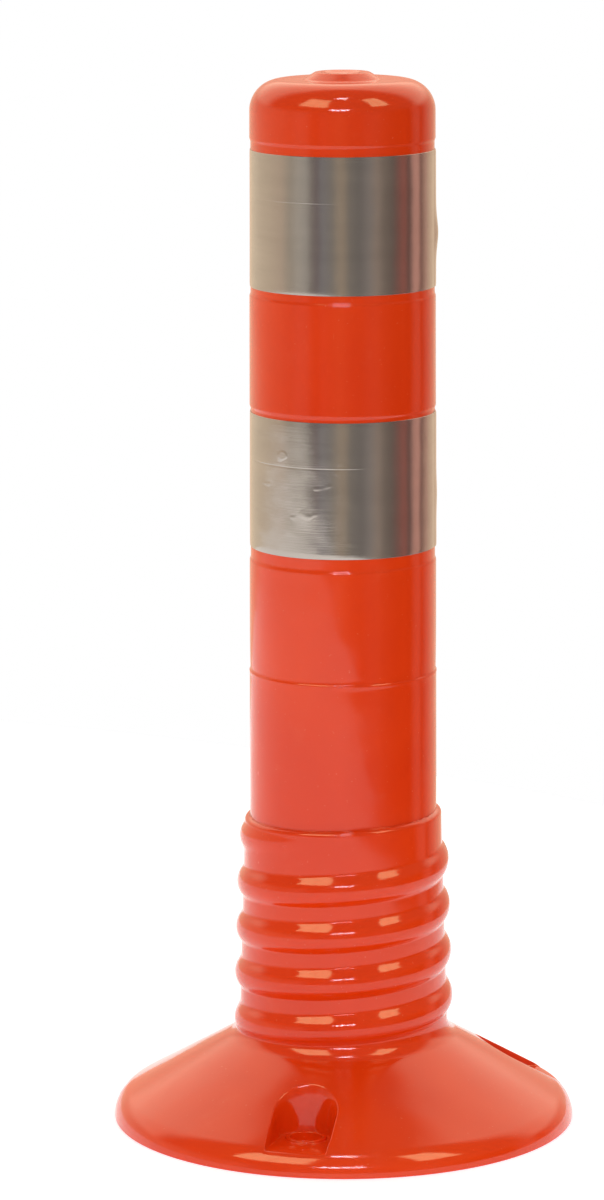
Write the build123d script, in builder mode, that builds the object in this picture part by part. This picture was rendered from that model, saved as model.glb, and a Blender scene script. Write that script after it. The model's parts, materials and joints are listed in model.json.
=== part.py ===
"""Flexible delineator post: a one-piece moulded post with a flared foot, a helically ribbed
flexible zone, a closed cap and two reflective bands.

Frame: origin at the centre of the foot's underside, +Z up the post, -Y towards the front.
The moulding is one hollow wall on the real post. Here it is divided at the hinge planes of the
flexible zone, so that the ribbed wall leans as a chain of thin slices.
"""
import os
from math import atan2, cos, degrees, radians, sin, tan

from build123d import *

# ---- driving dimensions, in millimetres and degrees -------------------------------------------

post_height = 450.0

# foot
foot_radius = 99.0
foot_edge_height = 7.5        # where the cone and the upright edge would meet
foot_edge_round = 12.0
foot_edge_wall = 8.0
foot_slope = 30.0
foot_wall = 5.0

# tube, which the flexible zone and the neck below it follow in width
tube_bottom_radius = 39.9
tube_draft = 1.0              # how much narrower the tube is at its top
tube_wall = 3.2

# flexible zone
shoulder_step = 2.1           # how far the zone's top stands out past the tube
rib_zone_draft = 1.9          # how much wider the zone is at its bottom
rib_zone_height = 88.5
rib_zone_wall = 3.4
shoulder_round = 1.8

# neck, where the flexible zone grows out of the foot
neck_step = 2.1               # how far the neck stands out past the zone's bottom
neck_height = 9.0
neck_round = 9.0

# the rib: a single thread that rises to the right on the front
rib_turns = 4.125
rib_start_angle = 180.0
rib_start_below_neck = 3.5    # the rib's centre at its lower end, below the top of the neck
rib_end_below_shoulder = 9.5  # the rib's centre at its upper end, below the shoulder
rib_height = 2.5
rib_width = 12.5
rib_root_depth = 1.5

# bore and cap
bore_step_height = 4.0
cap_wall = 4.0
cap_round = 13.0
cap_boss_height = 3.0
cap_boss_top_radius = 11.4
cap_boss_foot_radius = 16.5
cap_dish_depth = 0.8
cap_dish_radius = 8.5

# reflective bands, each glued into a shallow recess
band_spare_height = 7.5       # how much shorter a band is than its recess
band_thickness = 0.3
band_glue = 0.05
recess_depth = 0.45
recess_height = 65.0
recess_tops_below_cap = {"upper": 28.0, "lower": 140.5}
band_above_recess_bottom = {"upper": 3.5, "lower": 5.5}

# bolt pockets in the foot
pocket_count = 3
pocket_first_angle = 257.5
pocket_width = 26.0
pocket_floor = 9.5
pocket_wall = 4.0
bolt_circle_radius = 73.0
bolt_hole_radius = 6.5
bolt_boss_radius = 8.5
bolt_boss_height = 1.0

# hinge planes of the flexible zone: they alternate between leaning about X and about Y
hinge_count = 12
first_hinge_above_cone = 2.9
last_hinge_above_shoulder = 4.5

# ---- worked-out dimensions --------------------------------------------------------------------

tube_top_radius = tube_bottom_radius - tube_draft
rib_zone_top_radius = tube_bottom_radius + shoulder_step
rib_zone_bottom_radius = rib_zone_top_radius + rib_zone_draft
neck_radius = rib_zone_bottom_radius + neck_step
band_height = recess_height - band_spare_height
slope = tan(radians(foot_slope))
cone_top = foot_edge_height + (foot_radius - neck_radius) * slope
neck_top = cone_top + neck_height
shoulder = neck_top + rib_zone_height
cap_plane = post_height - cap_boss_height
rib_start = neck_top - rib_start_below_neck
rib_end = shoulder - rib_end_below_shoulder
rib_pitch = (rib_end - rib_start) / rib_turns
first_hinge = cone_top + first_hinge_above_cone
last_hinge = shoulder + last_hinge_above_shoulder
hinge_step = (last_hinge - first_hinge) / (hinge_count - 1)
hinge_planes = [first_hinge + n * hinge_step for n in range(hinge_count)]
overlap = 1.0                 # how far a cutting shape reaches past the surface that it cuts


def tube_radius(z):
    """Outer radius of the plain tube at a height, with its moulding draft."""
    draft = (tube_bottom_radius - tube_top_radius) / (cap_plane - shoulder)
    return tube_bottom_radius - (z - shoulder) * draft


def rib_zone_radius(z):
    """Outer radius of the flexible zone's wall, between the turns of the rib."""
    draft = (rib_zone_bottom_radius - rib_zone_top_radius) / rib_zone_height
    return rib_zone_bottom_radius - (z - neck_top) * draft


def cone_height(radius):
    """Height of the foot's cone at a radius."""
    return foot_edge_height + (foot_radius - radius) * slope


# ---- outer skin, a turned shape without ribs, recesses and pockets ----------------------------

with BuildPart() as skin:
    with BuildSketch(Plane.XZ) as skin_outline:
        with BuildLine():
            Polyline(
                (0, 0),
                (foot_radius, 0),
                (foot_radius, foot_edge_height),
                (neck_radius, cone_top),
                (neck_radius, neck_top),
                (rib_zone_bottom_radius, neck_top),
                (rib_zone_top_radius, shoulder),
                (tube_bottom_radius, shoulder),
                (tube_top_radius, cap_plane),
                (cap_boss_foot_radius, cap_plane),
                (cap_boss_top_radius, post_height),
                (cap_dish_radius, post_height - cap_dish_depth),
                (0, post_height - cap_dish_depth),
                (0, 0),
            )
        make_face()
        rounds = [
            (foot_radius, foot_edge_height, foot_edge_round),
            (neck_radius, cone_top, neck_round),
            (rib_zone_top_radius, shoulder, shoulder_round),
            (tube_top_radius, cap_plane, cap_round),
        ]
        for radius, height, round_radius in rounds:
            corner = skin_outline.vertices().sort_by_distance((radius, height))[0]
            fillet(corner, round_radius)
    revolve(axis=Axis.Z)

# ---- the rib, a rounded thread on the flexible zone --------------------------------------------

with BuildPart() as rib:
    with BuildLine() as rib_path:
        Helix(
            pitch=rib_pitch,
            height=rib_end - rib_start,
            radius=rib_zone_radius(rib_start),
            center=(0, 0, rib_start),
            cone_angle=degrees(
                atan2(rib_zone_radius(rib_end) - rib_zone_radius(rib_start), rib_end - rib_start)
            ),
        )
    helix = rib_path.wires()[0]
    with BuildSketch(Plane(origin=helix @ 0, x_dir=(1, 0, 0), z_dir=helix % 0)):
        with BuildLine():
            ThreePointArc((0, -rib_width / 2), (rib_height, 0), (0, rib_width / 2))
            Polyline(
                (0, rib_width / 2),
                (-rib_root_depth, rib_width / 2),
                (-rib_root_depth, -rib_width / 2),
                (0, -rib_width / 2),
            )
        make_face()
    sweep(path=helix, is_frenet=True)

# ---- bolt pockets -----------------------------------------------------------------------------


def pocket_outline(margin):
    """A slot from the bolt's centre out past the foot's edge, its inner end a half circle."""
    half = pocket_width / 2 + margin
    reach = foot_radius + overlap - bolt_circle_radius
    with Locations((bolt_circle_radius, 0)):
        Circle(half)
        Rectangle(reach, 2 * half, align=(Align.MIN, Align.CENTER))


def each_pocket():
    """The places of the pockets round the post, as turns about its axis."""
    return PolarLocations(0, pocket_count, start_angle=pocket_first_angle)


with BuildPart() as pocket_block:
    with BuildSketch():
        pocket_outline(pocket_wall)
    extrude(amount=cone_top)

with BuildPart() as pocket_cut:
    with BuildSketch(Plane.XY.offset(pocket_floor)):
        pocket_outline(0)
    extrude(amount=cone_top)

# ---- the hollow inside: foot cavity, bore and the underside of the cap ------------------------

with BuildPart() as hollow:
    with BuildSketch(Plane.XZ) as hollow_outline:
        wall_drop = foot_wall / cos(radians(foot_slope))
        edge_radius = foot_radius - foot_edge_wall
        bore_top = cap_plane - cap_wall
        neck_bore = rib_zone_bottom_radius - rib_zone_wall
        with BuildLine():
            Polyline(
                (0, -overlap),
                (edge_radius, -overlap),
                (edge_radius, cone_height(edge_radius) - wall_drop),
                (neck_bore, cone_height(neck_bore) - wall_drop),
                (rib_zone_top_radius - rib_zone_wall, shoulder - bore_step_height),
                (tube_bottom_radius - tube_wall, shoulder),
                (tube_radius(bore_top) - tube_wall, bore_top),
                (0, bore_top),
                (0, -overlap),
            )
        make_face()
        bore_corner = (tube_radius(bore_top) - tube_wall, bore_top)
        fillet(hollow_outline.vertices().sort_by_distance(bore_corner)[0], cap_round - cap_wall)
    revolve(axis=Axis.Z)
    with each_pocket():
        add(pocket_block.part, mode=Mode.SUBTRACT)

# ---- the whole moulding -----------------------------------------------------------------------

recess_bottoms = {
    name: post_height - drop - recess_height for name, drop in recess_tops_below_cap.items()
}

with BuildPart() as moulding:
    add(skin.part)
    add(rib.part, rotation=(0, 0, rib_start_angle))
    add(hollow.part, mode=Mode.SUBTRACT)
    for bottom in recess_bottoms.values():
        with BuildSketch(Plane.XZ):
            with BuildLine():
                Polyline(
                    (tube_radius(bottom) - recess_depth, bottom),
                    (tube_radius(bottom) + overlap, bottom),
                    (tube_radius(bottom + recess_height) + overlap, bottom + recess_height),
                    (tube_radius(bottom + recess_height) - recess_depth, bottom + recess_height),
                    close=True,
                )
            make_face()
        revolve(axis=Axis.Z, mode=Mode.SUBTRACT)
    with each_pocket():
        add(pocket_cut.part, mode=Mode.SUBTRACT)
        with Locations((bolt_circle_radius, 0, 0)):
            Cylinder(bolt_boss_radius, pocket_floor + bolt_boss_height,
                     align=(Align.CENTER, Align.CENTER, Align.MIN))
            Cylinder(bolt_hole_radius, pocket_floor + bolt_boss_height,
                     align=(Align.CENTER, Align.CENTER, Align.MIN), mode=Mode.SUBTRACT)

# ---- the moulding divided at its hinge planes -------------------------------------------------

os.makedirs("parts", exist_ok=True)


def slice_name(number):
    """Name of a slice of the flexible zone, counted from the foot up."""
    return f"flex_slice_{number:02d}"


names = ["foot"] + [slice_name(n) for n in range(1, hinge_count)] + ["upper_tube"]
lows = [None] + hinge_planes
highs = hinge_planes + [None]
for name, low, high in zip(names, lows, highs):
    with BuildPart() as piece:
        add(moulding.part)
        if low is not None:
            split(bisect_by=Plane.XY.offset(low), keep=Keep.TOP)
        if high is not None:
            split(bisect_by=Plane.XY.offset(high), keep=Keep.BOTTOM)
    piece.part.label = name
    export_step(piece.part, f"parts/{name}.step")

# ---- reflective bands -------------------------------------------------------------------------

for place, bottom in recess_bottoms.items():
    low = bottom + band_above_recess_bottom[place]
    high = low + band_height
    seat = recess_depth - band_glue
    with BuildPart() as band:
        with BuildSketch(Plane.XZ):
            with BuildLine():
                Polyline(
                    (tube_radius(low) - seat, low),
                    (tube_radius(low) - seat + band_thickness, low),
                    (tube_radius(high) - seat + band_thickness, high),
                    (tube_radius(high) - seat, high),
                    close=True,
                )
            make_face()
        revolve(axis=Axis.Z)
    band.part.label = f"reflective_band_{place}"
    export_step(band.part, f"parts/reflective_band_{place}.step")
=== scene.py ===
"""Looks of a flexible delineator post.

The post is one glossy orange moulding: a flared foot with three bolt pockets, a flexible zone
with a helical rib, a plain tube and a closed cap, plus two bands of reflective film. Every
length is in metres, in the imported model's own frame: +Z up the post, -Y towards the front.
"""
from __future__ import annotations

import json
import logging
import math
from dataclasses import dataclass
from enum import Enum
from typing import Any, Callable, Sequence

import bmesh
import bpy
import numpy as np
from bmesh.types import BMEdge, BMesh, BMFace, BMVert
from bpy.types import NodeSocket
from mathutils import Euler, Matrix, Vector

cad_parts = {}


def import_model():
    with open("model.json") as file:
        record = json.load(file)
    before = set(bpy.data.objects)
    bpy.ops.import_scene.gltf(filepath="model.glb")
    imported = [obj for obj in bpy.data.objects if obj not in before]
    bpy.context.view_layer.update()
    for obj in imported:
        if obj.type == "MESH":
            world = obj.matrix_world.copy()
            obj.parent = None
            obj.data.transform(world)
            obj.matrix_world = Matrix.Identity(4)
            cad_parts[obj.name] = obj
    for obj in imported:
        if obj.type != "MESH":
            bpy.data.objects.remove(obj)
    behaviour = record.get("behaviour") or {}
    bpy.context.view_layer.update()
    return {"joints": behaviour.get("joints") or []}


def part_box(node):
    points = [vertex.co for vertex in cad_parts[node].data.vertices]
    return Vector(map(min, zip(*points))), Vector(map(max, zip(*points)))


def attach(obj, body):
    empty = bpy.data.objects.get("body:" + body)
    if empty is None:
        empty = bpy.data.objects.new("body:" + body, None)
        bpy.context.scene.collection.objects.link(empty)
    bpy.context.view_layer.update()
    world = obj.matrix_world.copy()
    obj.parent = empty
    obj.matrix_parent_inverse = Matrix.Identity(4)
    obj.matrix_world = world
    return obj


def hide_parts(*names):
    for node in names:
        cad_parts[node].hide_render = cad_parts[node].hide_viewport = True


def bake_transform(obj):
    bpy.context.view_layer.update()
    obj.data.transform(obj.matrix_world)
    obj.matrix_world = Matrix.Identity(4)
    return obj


MM = 0.001
TURN = 2 * math.pi
UP = Vector((0, 0, 1))
FIRST_COLUMNS = 12            # mesh columns that are spun before they are doubled
DOUBLINGS = 4                 # how often they are doubled to go once round the post
COLUMNS = FIRST_COLUMNS * 2 ** DOUBLINGS
WELD = 2e-6                   # vertices nearer than this are one vertex
PLACE = "rest_place"          # attribute that holds each vertex's place on the upright post
LAST_BENT_FROM_ABOVE = 7      # wall pieces up to this number list their ends with the upper body first

Point = tuple[float, float]   # a radius and a height
Range = tuple[float, float]   # a low and a high value
Colour = tuple[float, float, float]
NormalAt = Callable[[Vector], Vector | None]

logging.basicConfig(level=logging.INFO, format="%(name)s: %(message)s")
log = logging.getLogger("delineator_post")


class Shade(Enum):
    """How a face gets its shading normals."""

    AUTO = 0
    EXACT = 1


class Finish(Enum):
    """The record's material slots."""

    MOULDING = "moulding"
    FILM = "reflective_film"


# ---- small helpers for numbers ----------------------------------------------------------------


def smoothstep(low: float, high: float, value: float) -> float:
    """Ease from 0 at low to 1 at high."""
    t = min(1.0, max(0.0, (value - low) / (high - low)))
    return t * t * (3 - 2 * t)


def soft_max(a: float, b: float, blend: float) -> float:
    """The larger of two numbers, rounded over where they are within blend of each other."""
    near = max(blend - abs(a - b), 0.0) / blend
    return max(a, b) + near * near * blend / 4


def soft_min(a: float, b: float, blend: float) -> float:
    """The smaller of two numbers, rounded over where they are within blend of each other."""
    return -soft_max(-a, -b, blend)


def spaced(low: float, high: float, step: float) -> list[float]:
    """Evenly spaced values from low to high, no further apart than step."""
    count = max(1, math.ceil(abs(high - low) / step))
    return [low + (high - low) * n / count for n in range(count + 1)]


def arc(centre: Point, radius: float, start: float, end: float, count: int) -> list[Point]:
    """Points on an arc in the (radius, height) half-plane.

    Args:
        centre: The arc's centre.
        radius: The arc's radius.
        start: Angle of the first point, in degrees from the outward direction.
        end: Angle of the last point.
        count: How many steps the arc is divided into.

    Returns:
        The points, both ends included.
    """
    angles = [math.radians(start + (end - start) * n / count) for n in range(count + 1)]
    return [(centre[0] + radius * math.cos(a), centre[1] + radius * math.sin(a)) for a in angles]


# ---- the post's outline ------------------------------------------------------------------------


@dataclass(frozen=True)
class PostOutline:
    """Sizes of the moulding that its parts share, and the surfaces that follow from them."""

    height: float = 450 * MM
    foot_radius: float = 99 * MM
    foot_edge_height: float = 7.5 * MM
    foot_edge_round: float = 12 * MM
    foot_slope: float = math.radians(30)
    neck_radius: float = 44.7 * MM
    neck_round: float = 9 * MM
    zone_low: float = 47.1 * MM
    zone_low_radius: float = 44.0 * MM
    shoulder: float = 135.6 * MM
    shoulder_radius: float = 42.0 * MM
    shoulder_round: float = 2.0 * MM
    shoulder_tilt: float = 1.5 * MM
    tube_low_radius: float = 39.9 * MM
    tube_top_radius: float = 38.9 * MM
    cap_plane: float = 447 * MM
    zone_wall: float = 3.4 * MM
    tube_wall: float = 3.2 * MM
    rib_pitch: float = 20 * MM
    rib_start: float = 43.6 * MM
    rib_height: float = 2.6 * MM
    rib_half_width: float = 6.4 * MM
    rib_top_blend: float = 1.2 * MM
    rib_foot_blend: float = 0.7 * MM
    rib_bell_share: float = 0.08
    rib_fades_in: Range = (37.1 * MM, 45.1 * MM)
    rib_fades_out: Range = (121.5 * MM, 129.5 * MM)
    rib_dives: Range = (129 * MM, 134 * MM)
    rib_dive: float = 4 * MM
    rib_cover: float = 1.2 * MM
    normal_step: float = 0.05 * MM

    def cone(self, radius: float) -> float:
        """Height of the foot's cone at a radius."""
        return self.foot_edge_height + (self.foot_radius - radius) * math.tan(self.foot_slope)

    @property
    def edge_centre(self) -> Point:
        """Centre of the rounding at the foot's edge.

        Returns:
            The centre.
        """
        r = self.foot_radius - self.foot_edge_round
        tangent = r + self.foot_edge_round * math.sin(self.foot_slope)
        return r, self.cone(tangent) - self.foot_edge_round * math.cos(self.foot_slope)

    @property
    def neck_centre(self) -> Point:
        """Centre of the hollow rounding between the cone and the neck.

        Returns:
            The centre.
        """
        r = self.neck_radius + self.neck_round
        tangent = r - self.neck_round * math.sin(self.foot_slope)
        return r, self.cone(tangent) + self.neck_round * math.cos(self.foot_slope)

    def foot_surface(self, radius: float) -> float:
        """Height of the foot's upper surface, without its pockets.

        Args:
            radius: Distance from the post's axis, out to the foot's edge.

        Returns:
            The height.
        """
        edge_r, edge_z = self.edge_centre
        if radius > edge_r + self.foot_edge_round * math.sin(self.foot_slope):
            return edge_z + math.sqrt(max(0.0, self.foot_edge_round ** 2 - (radius - edge_r) ** 2))
        neck_r, neck_z = self.neck_centre
        if radius < neck_r - self.neck_round * math.sin(self.foot_slope):
            return neck_z - math.sqrt(max(0.0, self.neck_round ** 2 - (neck_r - radius) ** 2))
        return self.cone(radius)

    def tube_radius(self, z: float) -> float:
        """Outer radius of the plain tube at a height."""
        share = (z - self.shoulder) / (self.cap_plane - self.shoulder)
        return self.tube_low_radius + (self.tube_top_radius - self.tube_low_radius) * share

    def bore_radius(self, z: float) -> float:
        """Radius of the hollow inside.

        Args:
            z: The height.

        Returns:
            The radius.
        """
        if z >= self.shoulder:
            return self.tube_radius(z) - self.tube_wall
        share = (z - self.zone_low) / (self.shoulder - self.zone_low)
        low = self.zone_low_radius - self.zone_wall
        return low + (self.tube_low_radius - self.tube_wall - low) * max(0.0, share)

    def zone_radius(self, z: float, start: float) -> float:
        """Radius of the flexible zone's wall, which narrows from a start height upwards."""
        share = min(1.0, (z - start) / (self.shoulder - start))
        return self.neck_radius + (self.shoulder_radius - self.neck_radius) * share

    def wall_radius(self, z: float, angle: float = 0.0) -> float:
        """Outer radius of the neck, the flexible zone's plain wall and the tube above it.

        Args:
            z: The height.
            angle: The angle round the post. The shoulder sits lower on the left, where the rib
                runs out into it.

        Returns:
            The radius.
        """
        neck_r, neck_z = self.neck_centre
        if z <= neck_z:
            return neck_r - math.sqrt(max(0.0, self.neck_round ** 2 - (neck_z - z) ** 2))
        zone = self.zone_radius(z, neck_z)
        drop = self.shoulder - self.shoulder_tilt * (1 - math.cos(angle)) - z
        if drop >= self.shoulder_round:
            return zone
        step = self.shoulder_radius - self.tube_low_radius
        if drop >= 0:
            rounded = self.shoulder_round - math.sqrt(
                self.shoulder_round ** 2 - (self.shoulder_round - drop) ** 2)
            return zone - min(step, rounded)
        return self.tube_radius(z)

    def rib_turns(self, angle: float, z: float) -> float:
        """Turns of the rib below a place, which are whole where the place is on its centre."""
        return (z - self.rib_start) / self.rib_pitch - (angle - math.pi) / TURN

    def rib_radius(self, angle: float, z: float) -> float:
        """Outer radius that the rib alone would give.

        Args:
            angle: The angle round the post.
            z: The height.

        Returns:
            The radius, which is less than the wall's beyond the rib's ends.
        """
        turns = self.rib_turns(angle, z)
        offset = (turns - round(turns)) * self.rib_pitch
        centre = z - offset
        bow = (self.rib_half_width ** 2 + self.rib_height ** 2) / (2 * self.rib_height)
        bump = math.sqrt(max(0.0, bow ** 2 - offset ** 2)) - (bow - self.rib_height)
        if 0 < offset < self.rib_half_width:
            bell = self.rib_height * math.cos(math.pi / 2 * offset / self.rib_half_width) ** 2
            bump += (bell - bump) * self.rib_bell_share
        start = smoothstep(*self.rib_fades_in, centre)
        end = 1 - smoothstep(*self.rib_fades_out, centre)
        sunk = (1 - start * end) * (self.rib_height + self.rib_cover)
        sunk += smoothstep(*self.rib_dives, centre) * self.rib_dive
        return self.zone_radius(centre, self.rib_start) + bump - sunk

    def skin_radius(self, angle: float, z: float) -> float:
        """Outer radius of the ribbed skin.

        Args:
            angle: The angle round the post.
            z: The height.

        Returns:
            The radius.
        """
        turns = self.rib_turns(angle, z)
        blend = self.rib_top_blend if turns > round(turns) else self.rib_foot_blend
        return soft_max(self.wall_radius(z, angle), self.rib_radius(angle, z), blend)

    def skin_normal(self, place: Vector) -> Vector:
        """Outward normal of the ribbed skin.

        Args:
            place: A point on the skin.

        Returns:
            The normal.
        """
        angle = math.atan2(place.y, place.x)
        step = self.normal_step
        radius = self.skin_radius(angle, place.z)
        turn = step / radius
        around = (self.skin_radius(angle + turn, place.z)
                  - self.skin_radius(angle - turn, place.z)) / (2 * step)
        along = (self.skin_radius(angle, place.z + step)
                 - self.skin_radius(angle, place.z - step)) / (2 * step)
        out = Vector((math.cos(angle), math.sin(angle), 0))
        side = Vector((-math.sin(angle), math.cos(angle), 0))
        return (out - side * around - UP * along).normalized()


# ---- mesh helpers ------------------------------------------------------------------------------


def turned(section: Sequence[Point], closed: bool = False, doublings: int = DOUBLINGS,
           rise: float = 0.0, centre: Vector = Vector((0, 0, 0))) -> BMesh:
    """Turn a section in the (radius, height) half-plane round an upright axis.

    The first columns are spun, and then doubled round the axis.

    Args:
        section: The section's points.
        closed: Whether the last point joins the first.
        doublings: How often the first columns are doubled.
        rise: How far the surface climbs in a turn.
        centre: A point on the axis.

    Returns:
        The turned surface in a mesh of its own.
    """
    bm = bmesh.new()
    bm.faces.layers.int.new("shade")
    verts = [bm.verts.new(centre + Vector((r, 0, z))) for r, z in section]
    edges = [bm.edges.new(pair) for pair in zip(verts[:-1], verts[1:])]
    if closed:
        edges.append(bm.edges.new((verts[-1], verts[0])))
    columns = FIRST_COLUMNS
    around = COLUMNS if rise else FIRST_COLUMNS * 2 ** doublings
    bmesh.ops.spin(bm, geom=verts + edges, cent=centre, axis=UP,
                   dvec=(0, 0, rise / around), angle=TURN * columns / around, steps=columns,
                   use_merge=False, use_duplicate=False)
    for _ in range(doublings):
        copy = bmesh.ops.duplicate(bm, geom=list(bm.verts) + list(bm.edges) + list(bm.faces))
        fresh = [g for g in copy["geom"] if isinstance(g, BMVert)]
        bmesh.ops.rotate(bm, verts=fresh, cent=centre,
                         matrix=Matrix.Rotation(TURN * columns / around, 3, "Z"))
        bmesh.ops.translate(bm, verts=fresh, vec=(0, 0, rise * columns / around))
        columns *= 2
    bmesh.ops.remove_doubles(bm, verts=bm.verts, dist=WELD)
    return bm


def join(bm: BMesh, other: BMesh) -> None:
    """Add another mesh to a working mesh.

    Args:
        bm: The working mesh.
        other: The other mesh, which is freed.
    """
    mesh = bpy.data.meshes.new("part")
    other.to_mesh(mesh)
    other.free()
    bm.from_mesh(mesh)
    bpy.data.meshes.remove(mesh)


def add_turned(bm: BMesh, section: Sequence[Point], shade: Shade = Shade.AUTO) -> None:
    """Add a section turned once round the post's axis to a working mesh.

    Args:
        bm: The working mesh.
        section: The section's points.
        shade: How the new faces are shaded.
    """
    surface = turned(section)
    mark(surface, list(surface.faces), shade)
    join(bm, surface)


def mark(bm: BMesh, faces: Sequence[BMFace], shade: Shade) -> None:
    """Note on faces how they are shaded.

    Args:
        bm: The working mesh.
        faces: The faces.
        shade: How they are shaded.
    """
    layer = bm.faces.layers.int.get("shade") or bm.faces.layers.int.new("shade")
    for f in faces:
        f[layer] = shade.value


def fill(bm: BMesh, edges: Sequence[BMEdge], shade: Shade = Shade.AUTO) -> None:
    """Fill the flat region between loops of edges with triangles.

    Args:
        bm: The working mesh.
        edges: The loops' edges.
        shade: How the new faces are shaded.
    """
    made = bmesh.ops.triangle_fill(bm, use_beauty=True, use_dissolve=False, edges=list(edges),
                                   normal=UP)
    mark(bm, [g for g in made["geom"] if isinstance(g, BMFace)], shade)


def make_piece(bm: BMesh, name: str, normal_at: NormalAt,
               sharp: float = 40.0) -> bpy.types.Object:
    """Close a working mesh into a named object with its shading normals.

    Args:
        bm: The working mesh, which is freed.
        name: The object's name.
        normal_at: Gives the exact normal on a face that is marked EXACT, or None.
        sharp: Edges that turn by more degrees than this are shaded sharp.

    Returns:
        The new object.
    """
    bmesh.ops.remove_doubles(bm, verts=bm.verts, dist=WELD)
    bmesh.ops.triangulate(bm, faces=[f for f in bm.faces if len(f.verts) > 4])
    bmesh.ops.recalc_face_normals(bm, faces=bm.faces)
    mesh = bpy.data.meshes.new(name)
    bm.to_mesh(mesh)
    bm.free()
    mesh.shade_smooth()
    mesh.set_sharp_from_angle(angle=math.radians(sharp))
    marks = mesh.attributes.get("shade")
    if marks is not None:
        normals = [Vector((0, 0, 0))] * len(mesh.loops)
        for polygon in mesh.polygons:
            if marks.data[polygon.index].value != Shade.EXACT.value:
                continue
            for corner in polygon.loop_indices:
                exact = normal_at(mesh.vertices[mesh.loops[corner].vertex_index].co)
                if exact is not None:
                    normals[corner] = exact
        mesh.normals_split_custom_set(normals)
        mesh.attributes.remove(mesh.attributes["shade"])
    place = mesh.attributes.new(PLACE, "FLOAT_VECTOR", "POINT")
    co = np.zeros(len(mesh.vertices) * 3, np.float32)
    mesh.vertices.foreach_get("co", co)
    place.data.foreach_set("vector", co)
    piece = bpy.data.objects.new(name, mesh)
    bpy.context.scene.collection.objects.link(piece)
    return piece


def profile_normal(section: Sequence[Point], crease: float = 30.0, lopsided: float = 3.0,
                   reach: float = 0.02 * MM) -> NormalAt:
    """Normals of a turned surface, from the section it was turned from.

    Args:
        section: The section's points, from the bottom up along the outside.
        crease: A point where the section turns by more degrees than this gives no normal.
        lopsided: Where one of a point's stretches is so many times longer, it alone counts.
        reach: How near a place has to be to one of the points.

    Returns:
        A function that gives the normal at a point near the section, or None elsewhere.
    """
    points = np.array(section)
    edges = np.diff(points, axis=0)
    facing = np.stack([edges[:, 1], -edges[:, 0]], axis=1)
    lengths = np.linalg.norm(facing, axis=1, keepdims=True)
    facing = facing / lengths
    at_point = np.zeros_like(points)
    for n in range(len(points)):
        before, after = max(0, n - 1), min(len(facing) - 1, n)
        a, b = facing[before], facing[after]
        if float(a @ b) < math.cos(math.radians(crease)):
            at_point[n] = 0
        elif lengths[before] > lopsided * lengths[after]:
            at_point[n] = a
        elif lengths[after] > lopsided * lengths[before]:
            at_point[n] = b
        else:
            at_point[n] = a + b

    def normal(place: Vector) -> Vector | None:
        """Normal at a point of the turned surface.

        Args:
            place: The point.

        Returns:
            The normal, or None away from the section's points.
        """
        radius = math.hypot(place.x, place.y)
        gap = np.hypot(points[:, 0] - radius, points[:, 1] - place.z)
        best = int(gap.argmin())
        r, z = at_point[best]
        if gap[best] > reach or (r == 0 and z == 0) or radius < MM:
            return None
        return Vector((r * place.x / radius, r * place.y / radius, z)).normalized()

    return normal


def cached(normal_at: NormalAt) -> NormalAt:
    """A normal function that remembers what it gave.

    Args:
        normal_at: The function that works the normal out.

    Returns:
        A function that gives the same, and asks once for each place.
    """
    known: dict[tuple[float, float, float], Vector | None] = {}

    def normal(place: Vector) -> Vector | None:
        """Normal at a place, worked out once.

        Args:
            place: The place.

        Returns:
            The normal, or None.
        """
        key = (place.x, place.y, place.z)
        if key not in known:
            known[key] = normal_at(place)
        return known[key]

    return normal


# ---- the foot ----------------------------------------------------------------------------------


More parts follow.
